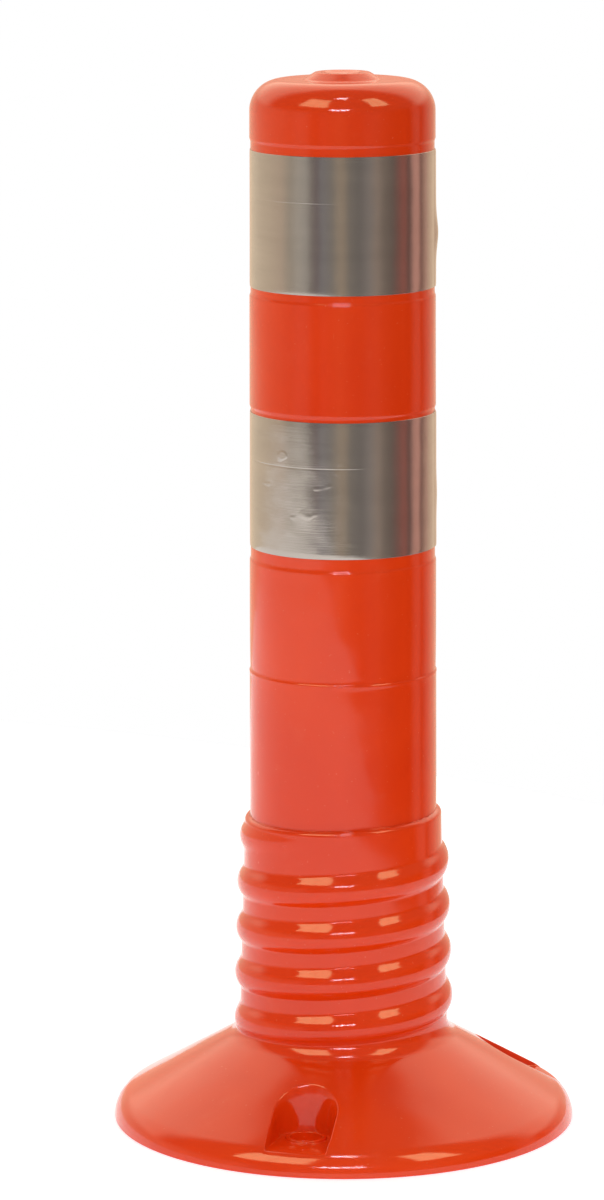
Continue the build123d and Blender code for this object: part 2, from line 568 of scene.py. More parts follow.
@dataclass
class Foot:
    """The flared foot with its three bolt pockets, from the ground to the neck.

    Fields that end in rows are distances in millimetres between the mesh's rows and an outline.
    """

    outline: PostOutline
    top: float
    floor: float = 9.5 * MM
    pocket_angles: tuple[float, ...] = (257.5, 17.5, 137.5)
    half_width: float = 13 * MM
    bolt_circle: float = 73 * MM
    bolt_hole: float = 6.5 * MM
    boss_radius: float = 8.5 * MM
    boss_height: float = 1.0 * MM
    wall_steepness: float = 9.0
    lip_overhang: float = 0.1 * MM
    end_centre: float = 74.4 * MM
    lip: float = 7.5 * MM
    floor_round: float = 5.0 * MM
    front: float = 95.2 * MM
    pad_wall: float = 4.0 * MM
    shell: float = 5.77 * MM
    edge_wall: float = 91 * MM
    rim: float = 97.2 * MM
    margin: float = 0.05 * MM
    pocket_reach: float = 8 * MM
    seat_gap: float = 0.55 * MM
    corner_blend: float = 1.2 * MM
    lip_run: Range = (-1 * MM, 0.5 * MM)
    lip_fade: float = 1.2
    cavity_round: float = 2 * MM
    cavity_inside: float = 45 * MM
    pad_front: float = 92.6 * MM
    hole_bevel: float = 0.6 * MM
    seat_round: float = 0.4 * MM
    front_flare: float = 0.25
    neck_rows: tuple[float, ...] = (0, 0.2, 0.5, 1.0)
    cone_step: float = 2.2 * MM
    edge_step: float = 0.7 * MM
    under_step: float = 3.5 * MM
    under_edge: float = 95 * MM
    ceiling_edge: float = 87 * MM
    sheet_gap: float = 0.5 * MM
    bolt_points: int = 48
    stations: tuple[int, ...] = (40, 16, 16, 16)
    pocket_rows: tuple[float, ...] = (
        -2.3, -2.1, -1.9, -1.6, -1.35, -1.1, -0.85, -0.6, -0.4, -0.2, 0, 0.2, 0.4, 0.6, 0.8, 1.0,
        1.2, 1.45, 1.7, 2.0, 2.4, 2.9)
    edge_rows: tuple[float, ...] = (0.3, 0, -0.15, -0.35, -0.6, -0.9, -1.2, -1.6, -2.2)
    pad_rows: tuple[float, ...] = (
        3.4, 4.0, 4.15, 4.35, 4.6, 5.0, 5.4, 5.8, 6.2, 6.6, 7.0, 7.5)

    def local(self, x: float, y: float, angle: float) -> tuple[float, float]:
        """Place (outwards, across) in the frame of the pocket at an angle in degrees."""
        a = math.radians(angle)
        return x * math.cos(a) + y * math.sin(a), y * math.cos(a) - x * math.sin(a)

    def beside(self, x: float, y: float) -> float:
        """Distance in plan from the nearest pocket's outline.

        Args:
            x: The place's first coordinate in plan.
            y: Its second coordinate.

        Returns:
            The distance, less than 0 inside the pocket.
        """
        nearest = 1.0
        for angle in self.pocket_angles:
            u, v = self.local(x, y, angle)
            if u > 0:
                away = math.hypot(min(0.0, u - self.end_centre), v) - self.half_width
                nearest = min(nearest, away)
        return nearest

    def to_bolt(self, x: float, y: float) -> float:
        """Distance in plan from the nearest bolt's centre."""
        places = [self.local(x, y, angle) for angle in self.pocket_angles]
        return min(math.hypot(u - self.bolt_circle, v) for u, v in places)

    def upper(self, x: float, y: float) -> float:
        """Height of the foot's upper surface, pockets included.

        Args:
            x: The place's first coordinate in plan.
            y: Its second coordinate.

        Returns:
            The height.
        """
        radius = math.hypot(x, y)
        surface = self.outline.foot_surface(radius)
        away = self.beside(x, y)
        if away > self.pocket_reach:
            return surface
        if self.to_bolt(x, y) < self.boss_radius + self.seat_gap + self.margin:
            return self.floor
        depth = max(0.0, surface - self.floor)
        rise = (away - self.lip_overhang) * self.wall_steepness + depth
        wall = self.floor + soft_max(0.0, rise, self.floor_round)
        blend = self.corner_blend + (self.lip - self.corner_blend) * smoothstep(*self.lip_run, away)
        blend = min(blend, self.corner_blend + depth * self.lip_fade)
        return soft_min(surface, wall, blend)

    def under(self, x: float, y: float) -> float:
        """Height of the foot's underside: the rim and the pads are flat, the rest is hollow.

        Args:
            x: The place's first coordinate in plan.
            y: Its second coordinate.

        Returns:
            The height.
        """
        radius = math.hypot(x, y)
        away = min(self.edge_wall - radius, self.beside(x, y) - self.pad_wall)
        if away <= 0:
            return 0.0
        ceiling = self.outline.cone(radius) - self.shell
        return soft_min(ceiling, away * self.wall_steepness, self.cavity_round)

    def upper_normal(self, place: Vector) -> Vector:
        """Outward normal of the foot's upper surface.

        Args:
            place: A point on the surface.

        Returns:
            The normal.
        """
        radius = math.hypot(place.x, place.y)
        edge_r, edge_z = self.outline.edge_centre
        if radius > self.rim - self.margin:
            level = max(0.0, place.z - edge_z)
            out = Vector((place.x, place.y, 0)) * ((radius - edge_r) / radius)
            return (out + UP * level).normalized()
        step = 0.02 * MM
        dx = self.upper(place.x + step, place.y) - self.upper(place.x - step, place.y)
        dy = self.upper(place.x, place.y + step) - self.upper(place.x, place.y - step)
        return Vector((-dx, -dy, 2 * step)).normalized()

    def station(self, s: float, away: float, front: float, angle: float) -> Vector:
        """Point on an outline that runs beside a pocket's.

        Args:
            s: Place along the outline: 0 to 1 is the inner half circle, 1 to 2 one side, 2 to 3
                the front and 3 to 4 the other side.
            away: Distance outside the pocket's own outline.
            front: Radius of the outline's front about the post's axis.
            angle: The pocket's angle, in degrees.

        Returns:
            The point in plan.
        """
        reach = self.half_width + away
        u_front = math.sqrt(front ** 2 - reach ** 2)
        if s <= 1:
            a = math.pi * (0.5 + s)
            u, v = self.end_centre + reach * math.cos(a), reach * math.sin(a)
        elif s <= 2:
            u, v = self.end_centre + (u_front - self.end_centre) * (s - 1), -reach
        elif s <= 3:
            v = reach * (2 * s - 5)
            u = math.sqrt(front ** 2 - v ** 2)
        else:
            u, v = u_front + (self.end_centre - u_front) * (s - 3), reach
        turn = math.radians(angle)
        return Vector((u * math.cos(turn) - v * math.sin(turn),
                       u * math.sin(turn) + v * math.cos(turn), 0))

    def sheet(self, bm: BMesh, radii: Sequence[float], offsets: Sequence[float],
              front: float, ring: float, height: Callable[[float, float], float],
              shade: Shade) -> None:
        """Make the foot's upper surface or its underside, as a sheet drawn in plan and lifted.

        Args:
            bm: The working mesh.
            radii: Radii of the sheet's rows about the post's axis.
            offsets: Distances of the rows beside each pocket, from the inside out.
            front: Radius of a pocket's front.
            ring: Radius of the round opening left at each bolt.
            height: The sheet's height at a point in plan.
            shade: How the sheet is shaded.
        """
        flat = turned([(r, 0) for r in radii])
        mark(flat, list(flat.faces), shade)
        clear = offsets[-1] + self.sheet_gap
        inner, outer = min(radii), max(radii)
        limit = sorted(radii)[-2]
        gone = [f for f in flat.faces if any(
            self.beside(v.co.x, v.co.y) < clear and v.co.xy.length < limit - WELD
            for v in f.verts)]
        bmesh.ops.delete(flat, geom=gone, context="FACES")
        cut = [e for e in flat.edges if len(e.link_faces) == 1 and
               inner + 4 * WELD < (e.verts[0].co.xy + e.verts[1].co.xy).length / 2
               < outer - 4 * WELD and max(v.co.xy.length for v in e.verts) < outer - WELD]
        for angle in self.pocket_angles:
            a = math.radians(angle)
            out = Vector((math.cos(a), math.sin(a)))
            round_this = [e for e in cut if e.verts[0].co.xy.normalized().dot(out) > 0.5]
            inside, outside = self.rows(flat, offsets, front, angle, shade)
            fill(flat, round_this + outside, shade)
            circle = bmesh.ops.create_circle(flat, cap_ends=False, radius=ring,
                                              segments=self.bolt_points)
            for v in circle["verts"]:
                v.co += Vector((out.x, out.y, 0)) * self.bolt_circle
            bolt_ring = list({e for v in circle["verts"] for e in v.link_edges})
            fill(flat, inside + bolt_ring, shade)
        for v in flat.verts:
            v.co.z = height(v.co.x, v.co.y)
        join(bm, flat)

    def rows(self, flat: BMesh, offsets: Sequence[float], front: float, angle: float,
             shade: Shade) -> tuple[list[BMEdge], list[BMEdge]]:
        """Extrude one pocket's outline outwards row by row.

        Args:
            flat: The sheet's mesh, drawn in plan.
            offsets: Distances of the rows outside the pocket's own outline.
            front: Radius of the pocket's front.
            angle: The pocket's angle, in degrees.
            shade: How the rows are shaded.

        Returns:
            The edges of the innermost row and of the outermost row.
        """
        layer = flat.verts.layers.float.get("s") or flat.verts.layers.float.new("s")
        verts = []
        for side, steps in enumerate(self.stations):
            for k in range(steps):
                s = side + k / steps
                reach = front + offsets[0] * self.front_flare
                v = flat.verts.new(self.station(s, offsets[0], reach, angle))
                v[layer] = s
                verts.append(v)
        first = [flat.edges.new((a, b)) for a, b in zip(verts, verts[1:] + verts[:1])]
        row = first
        for away in offsets[1:]:
            made = bmesh.ops.extrude_edge_only(flat, edges=row)["geom"]
            fresh = {g for g in made if isinstance(g, BMVert)}
            for v in fresh:
                v.co = self.station(v[layer], away, front + away * self.front_flare, angle)
            mark(flat, [g for g in made if isinstance(g, BMFace)], shade)
            row = [g for g in made if isinstance(g, BMEdge)
                   and all(v in fresh for v in g.verts)]
        return first, row

    def build(self) -> bpy.types.Object:
        """Make the foot as one closed piece.

        Returns:
            The piece.
        """
        o = self.outline
        bm = bmesh.new()
        bm.faces.layers.int.new("shade")
        neck = o.wall_radius(self.top)
        edge_r, edge_z = o.edge_centre
        tangent = edge_r + o.foot_edge_round * math.sin(o.foot_slope)
        near_neck = [neck + n * MM for n in self.neck_rows]
        rows = (near_neck[:-1] + spaced(near_neck[-1], tangent, self.cone_step)
                + spaced(tangent, self.rim - 0.4 * MM, self.edge_step)[1:] + [self.rim])
        self.sheet(bm, rows, [n * MM for n in self.pocket_rows], self.front,
                   self.boss_radius + self.seat_gap, self.upper, Shade.EXACT)
        toe = edge_z
        low_rows = ([o.foot_radius - toe, self.under_edge]
                    + [self.edge_wall + n * MM for n in self.edge_rows]
                    + spaced(self.ceiling_edge, self.cavity_inside, self.under_step))
        self.sheet(bm, low_rows, [n * MM for n in self.pad_rows], self.pad_front,
                   self.bolt_hole + self.hole_bevel, self.under, Shade.AUTO)
        start = math.degrees(math.acos((self.rim - edge_r) / o.foot_edge_round))
        rim = arc((edge_r, edge_z), o.foot_edge_round, start, 0, 10)
        add_turned(bm, rim, Shade.EXACT)
        add_turned(bm, arc((o.foot_radius - toe, toe), toe, 0, -90, 4))
        bore = o.bore_radius(self.top)
        ceiling = [(r, o.cone(r) - self.shell) for r in (self.cavity_inside, bore)]
        add_turned(bm, ceiling + [(bore, self.top), (neck, self.top)])
        for angle in self.pocket_angles:
            self.bolt_seat(bm, angle)
        return make_piece(bm, "foot_moulding", cached(self.upper_normal))

    def bolt_seat(self, bm: BMesh, angle: float) -> None:
        """Turn one pocket's raised bolt seat and the hole through it.

        Args:
            bm: The working mesh.
            angle: The pocket's angle, in degrees.
        """
        a = math.radians(angle)
        centre = Vector((math.cos(a), math.sin(a), 0)) * self.bolt_circle
        r = self.seat_round
        low, high = self.floor + r, self.floor + self.boss_height - r
        section = ([(self.boss_radius + self.seat_gap, self.floor)]
                   + arc((self.boss_radius + r + self.margin, low), r, 268, 185, 4)
                   + arc((self.boss_radius - r, high), r, 0, 90, 4)
                   + arc((self.bolt_hole + r, high), r, 90, 180, 4)
                   + [(self.bolt_hole, self.hole_bevel), (self.bolt_hole + self.hole_bevel, 0)])
        join(bm, turned(section, doublings=2, centre=centre))


# ---- the flexible zone -------------------------------------------------------------------------


@dataclass
class FlexibleZone:
    """The helically ribbed zone, in one piece for each hinge.

    The rows are heights in millimetres, about the rib's centre and about the shoulder.
    """

    outline: PostOutline
    hinges: list[float]
    step: float
    turn_doublings: int = 3
    turns_below: float = 1.5
    blank_radius: float = 40 * MM
    bore_step: float = 3 * MM
    rib_rows: tuple[float, ...] = (
        -10, -9, -8.1, -7.4, -7.0, -6.7, -6.4, -6.1, -5.7, -5.0, -4.2, -3.3, -2.4, -1.5, -0.6, 0.3,
        1.2, 2.1, 3.0, 3.9, 4.7, 5.3, 5.8, 6.3, 6.8, 7.4, 8.0, 8.7, 9.4, 10)
    shoulder_rows: tuple[float, ...] = (
        -2.6, -2.3, -2.0, -1.9, -1.75, -1.55, -1.3, -1.05, -0.8, -0.55, -0.3, -0.1, 0.05, 0.6)

    def skin(self, low: float, high: float) -> BMesh:
        """Screw the outer skin up the post and give it the rib, neck and shoulder.

        Args:
            low: Height of the skin's lower edge.
            high: Height of its upper edge.

        Returns:
            The skin, cut level where the pieces will meet.
        """
        o = self.outline
        base = o.rib_start - self.turns_below * o.rib_pitch
        bm = turned([(self.blank_radius, base + n * MM) for n in self.rib_rows],
                    doublings=DOUBLINGS + self.turn_doublings, rise=o.rib_pitch)
        cuts = [low] + [z - self.step / 2 for z in self.hinges[1:]] + [high]
        planes = [(z, UP) for z in cuts]
        lean = Vector((-o.shoulder_tilt / self.blank_radius, 0, 1)).normalized()
        planes += [(o.shoulder - o.shoulder_tilt + n * MM, lean) for n in self.shoulder_rows]
        for z, facing in planes:
            bmesh.ops.bisect_plane(bm, geom=list(bm.verts) + list(bm.edges) + list(bm.faces),
                                   dist=WELD / 20, plane_co=(0, 0, z), plane_no=facing)
        outside = [f for f in bm.faces if not low < f.calc_center_median().z < high]
        bmesh.ops.delete(bm, geom=outside, context="FACES")
        for v in bm.verts:
            angle = math.atan2(v.co.y, v.co.x)
            near = min(cuts, key=lambda z: abs(z - v.co.z))
            if abs(near - v.co.z) < WELD / 2:
                v.co.z = near
            radius = o.skin_radius(angle, v.co.z)
            v.co.x, v.co.y = radius * math.cos(angle), radius * math.sin(angle)
        mark(bm, list(bm.faces), Shade.EXACT)
        return bm

    def build(self) -> list[bpy.types.Object]:
        """Make the zone's pieces.

        Returns:
            The pieces, from the foot up.
        """
        half = self.step / 2
        whole = self.skin(self.hinges[0] - half, self.hinges[-1] + half)
        normal_at = cached(self.outline.skin_normal)
        pieces = []
        for number, hinge in enumerate(self.hinges, 1):
            low, high = hinge - half, hinge + half
            bm = whole.copy()
            outside = [f for f in bm.faces if not low < f.calc_center_median().z < high]
            bmesh.ops.delete(bm, geom=outside, context="FACES")
            heights = spaced(low, high, self.bore_step)
            add_turned(bm, [(self.outline.bore_radius(z), z) for z in heights])
            bmesh.ops.remove_doubles(bm, verts=bm.verts, dist=WELD)
            for z in (low, high):
                level = [e for e in bm.edges if len(e.link_faces) == 1
                         and all(abs(v.co.z - z) < WELD for v in e.verts)]
                fill(bm, level)
            pieces.append(make_piece(bm, f"flexible_wall_{number:02d}", normal_at))
        whole.free()
        return pieces


# ---- the tube and its cap ----------------------------------------------------------------------


@dataclass
class UpperTube:
    """The plain tube above the flexible zone, with band recesses and a closed cap.

    The dish's rows are radii in millimetres, and the first is that of the faint gate ring.
    """

    outline: PostOutline
    bottom: float
    recess_depth: float = 0.45 * MM
    recesses: tuple[Range, ...] = ((244.5 * MM, 309.5 * MM), (357 * MM, 422 * MM))
    recess_run: float = 0.9 * MM
    crease: float = 196 * MM
    crease_depth: float = 0.32 * MM
    crease_fade: float = 9 * MM
    crease_line: float = 0.16 * MM
    crease_line_width: float = 1.1 * MM
    cap_round: float = 13 * MM
    cap_wall: float = 4 * MM
    boss_foot: float = 16.5 * MM
    boss_top: float = 11.4 * MM
    boss_height: float = 3 * MM
    boss_hollow: float = 3.2 * MM
    boss_edge_round: float = 1.3 * MM
    dish_depth: float = 0.8 * MM
    dish_radius: float = 8.5 * MM
    side_step: float = 4 * MM
    recess_edge_step: float = 0.18 * MM
    crease_reach: tuple[float, float, float] = (-4 * MM, 3 * MM, 34 * MM)
    crease_step: float = 0.22 * MM
    crease_fade_step: float = 1.5 * MM
    least_step: float = 0.05 * MM
    bore_step: float = 30 * MM
    dish_edge: float = 0.8 * MM
    dish_rows: tuple[float, ...] = (6.6, 5.8, 5.0, 4, 3, 2, 1)
    gate_ring_height: float = 0.25 * MM
    cap_step: float = 3 * MM

    def radius(self, z: float) -> float:
        """Outer radius of the tube, recesses and mould crease included.

        Args:
            z: The height.

        Returns:
            The radius.
        """
        sunk = 0.0
        for low, high in self.recesses:
            sunk = max(sunk, smoothstep(low - self.recess_run, low + self.recess_run, z)
                       - smoothstep(high - self.recess_run, high + self.recess_run, z))
        above = z - self.crease
        pinch = 0.0
        if above >= 0:
            fade = math.exp(-above / self.crease_fade)
            pinch = self.crease_depth * smoothstep(0, 0.9 * MM, above) * fade
        lift = self.crease_line * math.exp(-(above / self.crease_line_width) ** 2)
        return self.outline.tube_radius(z) - sunk * self.recess_depth - pinch + lift

    def side_section(self) -> list[Point]:
        """The tube's outside, from its lower end up to the cap's rounding.

        Returns:
            The section's points, close together at the recesses' edges and at the crease.
        """
        top = self.outline.cap_plane - self.cap_round
        heights = set(spaced(self.bottom, top, self.side_step))
        reach = 1.4 * self.recess_run
        for edge in (edge for recess in self.recesses for edge in recess):
            heights.update(spaced(edge - reach, edge + reach, self.recess_edge_step))
        below, above, faded = (self.crease + n for n in self.crease_reach)
        heights.update(spaced(below, above, self.crease_step))
        heights.update(spaced(above, faded, self.crease_fade_step))
        kept: list[float] = []
        for z in sorted(heights):
            if not kept or z - kept[-1] > self.least_step:
                kept.append(z)
        return [(self.radius(z), z) for z in kept]

    def cap_section(self) -> list[Point]:
        """The cap's outside, from its rounding to the middle of the dished boss.

        Returns:
            The section's points.
        """
        o = self.outline
        bend = o.cap_plane - self.cap_round
        shoulder = arc((o.tube_radius(bend) - self.cap_round, bend), self.cap_round, 0, 90, 24)
        lean = math.atan2(self.boss_height, self.boss_foot - self.boss_top)
        half = math.tan(lean / 2)
        foot = arc((self.boss_foot + self.boss_hollow * half, o.cap_plane + self.boss_hollow),
                   self.boss_hollow, 270, 270 - math.degrees(lean), 7)
        edge = arc((self.boss_top - self.boss_edge_round * half, o.height - self.boss_edge_round),
                   self.boss_edge_round, 90 - math.degrees(lean), 96, 6)
        dish = [(self.dish_radius, o.height - 0.05 * MM),
                (self.dish_radius - self.dish_edge, o.height - 0.3 * MM)]
        floor = o.height - self.dish_depth
        ring = self.dish_rows[0]
        middle = [(r * MM, floor + self.gate_ring_height * math.exp(-(ring - r) ** 2))
                  for r in self.dish_rows] + [(0.0, floor)]
        inset = 0.4 * MM
        flat = spaced(shoulder[-1][0] - inset, foot[0][0] + inset, self.cap_step)
        return shoulder + [(r, o.cap_plane) for r in flat] + foot + edge + dish + middle

    def build(self) -> bpy.types.Object:
        """Make the tube and cap as one closed piece.

        Returns:
            The piece.
        """
        o = self.outline
        outside = self.side_section()[:-1] + self.cap_section()
        top = o.cap_plane - self.cap_wall
        corner = self.cap_round - self.cap_wall
        bend = (o.bore_radius(top) - corner, top - corner)
        heights = spaced(top - corner - 5 * MM, self.bottom, self.bore_step)
        inside = ([(0.0, top)] + arc(bend, corner, 90, 0, 6)
                  + [(o.bore_radius(z), z) for z in heights])
        bm = bmesh.new()
        bm.faces.layers.int.new("shade")
        add_turned(bm, outside, Shade.EXACT)
        add_turned(bm, inside + [outside[0]])
        return make_piece(bm, "upper_tube_moulding", cached(profile_normal(outside)))


# ---- the reflective bands ----------------------------------------------------------------------


@dataclass
class ReflectiveBand:
    """One band of film, wrapped round the tube in its recess with its ends lapped.

    The line's rows are heights in millimetres about the pressed line below the band's top.
    """

    name: str
    outline: PostOutline
    low: float
    high: float
    curl: float
    curl_height: float
    lap_angle: float = math.radians(-3)
    lap_width: float = math.radians(9)
    lap_lift: float = 0.28 * MM
    curl_width: float = math.radians(5)
    curl_reach: float = 7 * MM
    proud: float = -0.10 * MM
    thickness: float = 0.3 * MM
    unevenness: float = 0.05 * MM
    line_below_top: float = 19.5 * MM
    line_depth: float = 0.03 * MM
    line_width: float = 0.2 * MM
    line_rows: tuple[float, ...] = (-0.5, -0.3, -0.15, 0, 0.15, 0.3, 0.5)
    row_step: float = 1.2 * MM
    edge_fold: float = 0.08 * MM
    edge_roll: float = 0.12 * MM
    edge_run: float = 0.5 * MM

    def lift(self, angle: float, z: float) -> float:
        """How far the film stands off its plain radius: over the lap, and where its end curls.

        Args:
            angle: The angle round the post.
            z: The height.

        Returns:
            The distance.
        """
        turn = (angle - self.lap_angle + math.pi) % TURN - math.pi
        before_end = turn <= 1e-4
        lap = smoothstep(-self.lap_width, -self.lap_width * 0.55, turn) * before_end
        near_end = math.exp(-(turn / self.curl_width) ** 2) * before_end
        curl = self.curl * math.exp(-((z - self.curl_height) / self.curl_reach) ** 2)
        seat = math.sin(5 * angle + 60 * z) * math.sin(2 * angle - 25 * z + 1)
        return lap * self.lap_lift + near_end * curl + seat * self.unevenness

    def build(self) -> bpy.types.Object:
        """Make the band as one closed film.

        Returns:
            The piece.
        """
        o = self.outline
        fold = self.edge_fold
        line = self.high - self.line_below_top
        heights = set(spaced(self.low + fold, self.high - fold, self.row_step))
        heights.update(line + n * MM for n in self.line_rows)
        outer = []
        for z in sorted(heights):
            groove = self.line_depth * math.exp(-((z - line) / self.line_width) ** 2)
            edge = min(z - self.low, self.high - z)
            roll = self.edge_roll * math.exp(-edge / self.edge_run)
            outer.append((o.tube_radius(z) + self.proud - groove - roll, z))
        bottom, top = ((o.tube_radius(z) + self.proud - self.thickness, z)
                       for z in (self.low, self.high))
        section = ([bottom, (outer[0][0] - fold, self.low)] + outer
                   + [(outer[-1][0] - fold, self.high), top])
        bm = turned(section, closed=True)
        for v in bm.verts:
            radius = v.co.xy.length
            angle = math.atan2(v.co.y, v.co.x)
            if radius > o.tube_radius(v.co.z) + self.proud - self.thickness * 0.9:
                grown = (radius + self.lift(angle, v.co.z)) / radius
                v.co.x, v.co.y = v.co.x * grown, v.co.y * grown
        return make_piece(bm, self.name, lambda place: None)


# ---- shader helpers ----------------------------------------------------------------------------


@dataclass(frozen=True)
class Value:
    """A number on a shader socket, which takes part in ordinary arithmetic."""

    nodes: NodeMaker
    socket: NodeSocket

    def __add__(self, other: Value | float) -> Value:
        """This value plus another."""
        return self.nodes.math("ADD", self, other)

    def __sub__(self, other: Value | float) -> Value:
        """This value less another."""
        return self.nodes.math("SUBTRACT", self, other)

    def __rsub__(self, other: float) -> Value:
        """A number less this value."""
        return self.nodes.math("SUBTRACT", other, self)

    def __mul__(self, other: Value | float) -> Value:
        """This value times another."""
        return self.nodes.math("MULTIPLY", self, other)

    def __truediv__(self, other: Value | float) -> Value:
        """This value divided by another."""
        return self.nodes.math("DIVIDE", self, other)

    def __pow__(self, other: float) -> Value:
        """This value to a power."""
        return self.nodes.math("POWER", self, other)

    __radd__ = __add__
    __rmul__ = __mul__

    def over(self, low: float, high: float) -> Value:
        """Ease from 0 to 1.

        Args:
            low: This value where the result is 0.
            high: This value where the result is 1.

        Returns:
            The eased value.
        """
        ranged = self.nodes.node("ShaderNodeMapRange", {"interpolation_type": "SMOOTHSTEP"},
                                 {"Value": self, "From Min": low, "From Max": high,
                                  "To Min": 0.0, "To Max": 1.0})
        return self.nodes.value(ranged, "Result")

    def within(self, low: float, high: float, soft: float) -> Value:
        """1 between low and high, and 0 outside, eased over a soft edge on either side."""
        below = self.over(high - soft, high + soft)
        return self.over(low - soft, low + soft) * (1 - below)


class NodeMaker:
    """Makes the nodes of one material or world."""

    def __init__(self, tree: bpy.types.NodeTree) -> None:
        """Start with an empty tree."""
        self.tree = tree
        tree.nodes.clear()

    def node(self, kind: str, settings: dict[str, Any] | None = None,
             inputs: dict[str | int, Any] | None = None) -> bpy.types.Node:
        """Make any node.

        Args:
            kind: The node's type.
            settings: Its settings, set first. "stops" gives a ramp's stops as (place, colour).
            inputs: A number, colour, value or socket for each of its input sockets.

        Returns:
            The new node.
        """
        made = self.tree.nodes.new(kind)
        for name, setting in (settings or {}).items():
            if name == "stops":
                ramp = made.color_ramp
                while len(ramp.elements) < len(setting):
                    ramp.elements.new(0.5)
                for element, (place, colour) in zip(ramp.elements, setting):
                    element.position = place
                    element.color = (*colour, 1)
            else:
                setattr(made, name, setting)
        for name, given in (inputs or {}).items():
            socket = made.inputs[name]
            if isinstance(given, Value):
                given = given.socket
            if isinstance(given, NodeSocket):
                self.tree.links.new(given, socket)
            elif isinstance(given, tuple) and len(given) == 3 and socket.type == "RGBA":
                socket.default_value = (*given, 1)
            else:
                socket.default_value = given
        return made

    def value(self, node: bpy.types.Node, output: str | int = 0) -> Value:
        """One of a node's outputs, as a value."""
        return Value(self, node.outputs[output])

    def math(self, operation: str, *terms: Value | float) -> Value:
        """The result of a Math node."""
        made = self.node("ShaderNodeMath", {"operation": operation}, dict(enumerate(terms)))
        return self.value(made)

    def parts(self, vector: NodeSocket) -> tuple[Value, Value, Value]:
        """A vector's three parts."""
        split = self.node("ShaderNodeSeparateXYZ", {}, {0: vector})
        return self.value(split, 0), self.value(split, 1), self.value(split, 2)

    def place(self) -> NodeSocket:
        """The place on the upright post."""
        return self.node("ShaderNodeAttribute", {"attribute_name": PLACE}).outputs["Vector"]

    def stretched(self, vector: NodeSocket, around: float, along: float) -> NodeSocket:
        """A place scaled across the post and along it."""
        return self.node("ShaderNodeVectorMath", {"operation": "MULTIPLY"},
                         {0: vector, 1: (around, around, along)}).outputs[0]

    def noise(self, vector: NodeSocket, scale: float, detail: float = 2.0,
              roughness: float = 0.5, distortion: float = 0.0) -> Value:
        """A smooth noise from 0 to 1.

        Args:
            vector: The place.
            scale: Cycles per metre.
            detail: How many finer layers are added.
            roughness: How strong the finer layers are.
            distortion: How far the noise is bent by itself.

        Returns:
            The noise.
        """
        made = self.node("ShaderNodeTexNoise", {"noise_dimensions": "3D"},
                         {"Vector": vector, "Scale": scale, "Detail": detail,
                          "Roughness": roughness, "Distortion": distortion})
        return self.value(made, "Fac")

    def mix(self, share: Value | float, a: NodeSocket | Colour,
            b: NodeSocket | Colour) -> NodeSocket:
        """One colour blended over another.

        Args:
            share: How much of the second colour is taken.
            a: The first colour.
            b: The second colour.

        Returns:
            The blended colour.
        """
        made = self.node("ShaderNodeMix", {"data_type": "RGBA", "clamp_factor": True},
                         {0: share, 6: a, 7: b})
        return made.outputs[2]

    def bump(self, *layers: tuple[Value, float]) -> NodeSocket:
        """A normal from layers of relief, each over the last.

        Args:
            layers: For each layer a height from 0 to 1, and the distance that 1 stands for.

        Returns:
            The normal.
        """
        normal = {}
        for height, distance in layers:
            made = self.node("ShaderNodeBump", {}, {"Strength": 1.0, "Distance": distance,
                                                    "Height": height, **normal})
            normal = {"Normal": made.outputs[0]}
        return normal["Normal"]

    def surface(self, inputs: dict[str, Any]) -> None:
        """Finish a material with one Principled surface."""
        shader = self.node("ShaderNodeBsdfPrincipled", {}, inputs)
        self.node("ShaderNodeOutputMaterial", {}, {"Surface": shader.outputs[0]})


def new_material(name: str) -> tuple[bpy.types.Material, NodeMaker]:
    """Start a material.

    Args:
        name: Its name.

    Returns:
        The empty material, and the maker of its nodes.
    """
    material = bpy.data.materials.new(name)
    material.use_nodes = True
    return material, NodeMaker(material.node_tree)


# ---- finishes ----------------------------------------------------------------------------------


@dataclass(frozen=True)
class Pattern:
    """A random pattern over the post, of a scale in cycles per metre.

    Its levels are the strengths of the noise that become 0 and 1. Its stretch multiplies the
    scale, across the post and along it.
    """

    scale: float
    detail: float = 2.0
    roughness: float = 0.5
    distortion: float = 0.0
    levels: Range | None = None
    stretch: tuple[float, float] = (1.0, 1.0)

    def on(self, n: NodeMaker, place: NodeSocket) -> Value:
        """Make the pattern's nodes.

        Args:
            n: The maker of the material's nodes.
            place: The place on the upright post.

        Returns:
            The pattern, from 0 to 1, eased between its two levels where it has them.
        """
        if self.stretch != (1.0, 1.0):
            place = n.stretched(place, *self.stretch)
        noise = n.noise(place, self.scale, self.detail, self.roughness, self.distortion)
        return noise.over(*self.levels) if self.levels else noise


